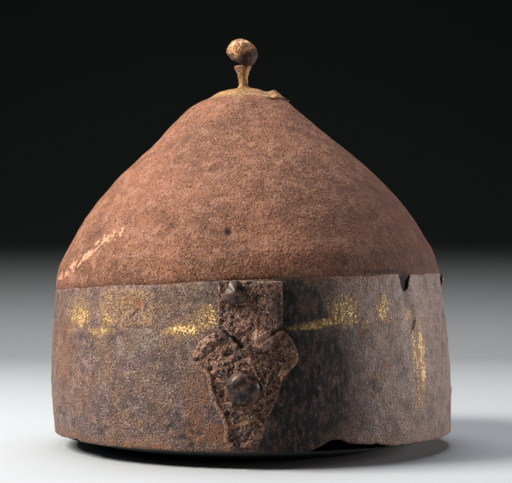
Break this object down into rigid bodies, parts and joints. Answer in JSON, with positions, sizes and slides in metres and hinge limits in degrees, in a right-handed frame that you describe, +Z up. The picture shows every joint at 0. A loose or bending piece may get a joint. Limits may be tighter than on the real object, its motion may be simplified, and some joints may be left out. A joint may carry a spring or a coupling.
{
  "type": "norse iron helmet",
  "caption": "Conical iron helmet bowl with a riveted brow band, the root of a nasal on its front and a small knob finial at the apex.",
  "frame": {"origin": "on the surface that the rim rests on, in the middle of the helmet's box; the centre of the rim's ring is 5 mm behind it, because the front mount stands proud", "axes": "+Z up from the rim towards the finial, -Y towards the front with the nasal mount, +X to the right of someone looking at the front"},
  "size_m": [0.2095, 0.238, 0.2077],
  "materials": {
    "rusted_iron_bowl": "even red-brown rust with a sandy pitted surface, a pale worn streak and small dark pits",
    "corroded_iron_band": "grey-brown and dark corroded iron with flakes, rust patches and traces of old gilding",
    "corroded_iron_mount": "deeply pitted and flaking dark brown iron with worn light brown edges",
    "iron_rivets": "dark brown rounded iron with a low sheen",
    "pitted_copper_alloy": "dull yellow-brown copper alloy with corrosion lumps and pits",
    "worn_copper_alloy_knob": "coppery brown, worn smooth with a polished highlight and dark pits"
  },
  "bodies": {
    "root": {"skull_bowl": "rusted_iron_bowl", "brow_band": "corroded_iron_band", "nasal_block": "corroded_iron_mount", "nasal_plate": "corroded_iron_mount", "boss_rivet": "iron_rivets", "brow_rivet": "iron_rivets", "side_rivet": "iron_rivets", "rear_rivet": "iron_rivets", "apex_cap": "pitted_copper_alloy", "finial_stem": "pitted_copper_alloy", "finial_knob": "worn_copper_alloy_knob"}
  },
  "joints": []
}
